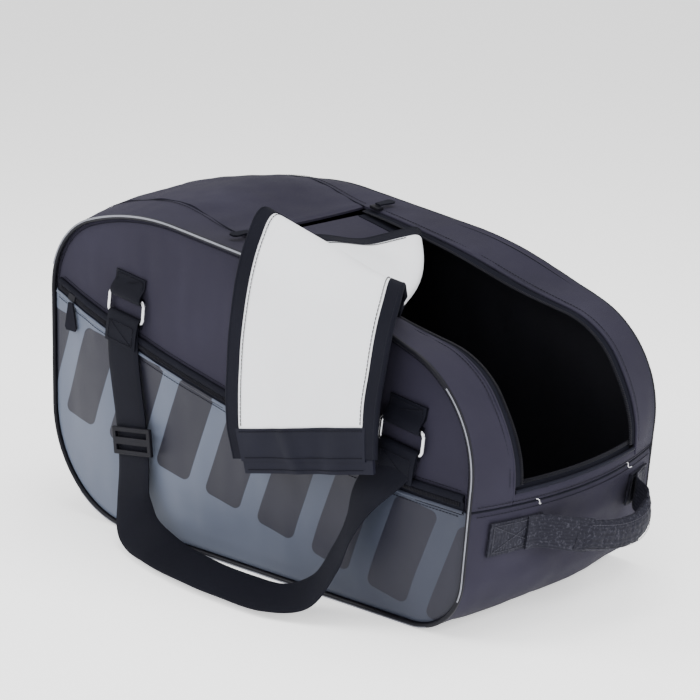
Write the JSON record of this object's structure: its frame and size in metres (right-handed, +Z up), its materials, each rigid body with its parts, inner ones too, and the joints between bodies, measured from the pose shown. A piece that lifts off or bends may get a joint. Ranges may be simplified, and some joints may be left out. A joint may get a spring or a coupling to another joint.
{
  "type": "paddle case",
  "caption": "Soft racket sports duffel with rounded ends, a zipped front pocket, an open top lid folded over the front, a carry strap on rings and an end haul handle.",
  "frame": {"origin": "middle of the flat base face, on the surface the bag stands on", "axes": "+X along the bag towards the end with the haul handle, -Y towards the front with the pocket, +Z up"},
  "size_m": [0.5849, 0.3111, 0.3192],
  "materials": {
    "shell_cloth": "matt woven polyester with a faint vertical ripple",
    "pocket_cloth": "coated satin cloth with a soft sheen and a tone on tone pattern",
    "webbing": "ribbed woven webbing",
    "piping": "coated piping, semi gloss",
    "zip": "dark coil zip and its tape",
    "ring_metal": "satin plated wire",
    "lid_lining": "pale coated lining, softly creased",
    "inner_lining": "thin black lining",
    "board": "dull stiffener board"
  },
  "bodies": {
    "bag": {"back_lining": "inner_lining", "back_panel": "shell_cloth", "back_piping": "piping", "back_top_strip": "shell_cloth", "base_board": "board", "base_panel": "shell_cloth", "carry_ring_tab_left": "webbing", "carry_ring_tab_right": "webbing", "front_lining": "inner_lining", "front_panel": "shell_cloth", "front_piping": "piping", "front_top_strip": "shell_cloth", "haul_anchor_back": "webbing", "haul_anchor_front": "webbing", "haul_web_back": "webbing", "haul_web_front": "webbing", "left_gusset": "shell_cloth", "lid_fold_panel": "lid_lining", "lid_fold_tape_left": "zip", "lid_fold_tape_right": "zip", "lid_root_panel": "shell_cloth", "mouth_end_lip": "shell_cloth", "mouth_zip_back": "zip", "mouth_zip_front": "zip", "pocket_panel": "pocket_cloth", "pocket_zip_chain": "zip", "pocket_zip_tape": "zip", "right_gusset": "shell_cloth", "top_left_panel": "shell_cloth"},
    "carry_strap": {"carry_ring_left": "ring_metal", "carry_ring_right": "ring_metal", "carry_strap": "webbing"},
    "strap_adjuster": {"strap_adjuster": "zip"},
    "mouth_slider_front": {"mouth_slider_front": "zip"},
    "mouth_slider_back": {"mouth_slider_back": "zip"},
    "mouth_puller_front": {"mouth_puller_front": "zip"},
    "mouth_puller_back": {"mouth_puller_back": "zip"},
    "pocket_slider": {"pocket_slider": "zip"},
    "pocket_puller": {"pocket_puller": "zip"},
    "lid_flap": {"lid_flap_lining": "lid_lining", "lid_flap_shell": "shell_cloth", "lid_tape_left": "zip", "lid_tape_right": "zip", "lid_end_band": "shell_cloth"},
    "haul_grip": {"haul_grip": "webbing"}
  },
  "joints": [
    {"name": "lid_flap_swing", "type": "hinge", "parent": "bag", "child": "lid_flap", "pos_m": [0.11241, -0.147, 0.2807], "axis": [-0.9721, 0, 0.2344], "range_deg": [0, 120]},
    {"name": "carry_strap_swing", "type": "hinge", "parent": "bag", "child": "carry_strap", "pos_m": [-0.145, -0.1298, 0.2285], "axis": [-0.9877, 0, 0.1563], "range_deg": [0, 90]},
    {"name": "strap_adjuster_slide", "type": "slide", "parent": "carry_strap", "child": "strap_adjuster", "axis": [-0.1273, 0.0374, 0.9912], "range_m": [0, 0.03]},
    {"name": "mouth_slider_front_slide", "type": "slide", "parent": "bag", "child": "mouth_slider_front", "axis": [0.9861, 0, -0.1661], "range_m": [0, 0.03]},
    {"name": "mouth_slider_back_slide", "type": "slide", "parent": "bag", "child": "mouth_slider_back", "axis": [0.9861, 0, -0.1661], "range_m": [0, 0.03]},
    {"name": "mouth_puller_front_swing", "type": "hinge", "parent": "mouth_slider_front", "child": "mouth_puller_front", "pos_m": [-0.03226, -0.0845, 0.29719], "axis": [-0.9861, 0, 0.1661], "range_deg": [0, 90]},
    {"name": "mouth_puller_back_swing", "type": "hinge", "parent": "mouth_slider_back", "child": "mouth_puller_back", "pos_m": [-0.03226, 0.0845, 0.29719], "axis": [0.9861, 0, -0.1661], "range_deg": [0, 90]},
    {"name": "pocket_slider_slide", "type": "slide", "parent": "bag", "child": "pocket_slider", "axis": [0.9416, 0, -0.3368], "range_m": [-0.008, 0.03]},
    {"name": "pocket_puller_swing", "type": "hinge", "parent": "pocket_slider", "child": "pocket_puller", "pos_m": [-0.2247, -0.1302, 0.20908], "axis": [-0.9994, 0, 0.0349], "range_deg": [0, 150]},
    {"name": "haul_grip_lift", "type": "hinge", "parent": "bag", "child": "haul_grip", "pos_m": [0.298, 0.0188, 0.0779], "axis": [0, -1, 0], "range_deg": [0, 45]}
  ]
}
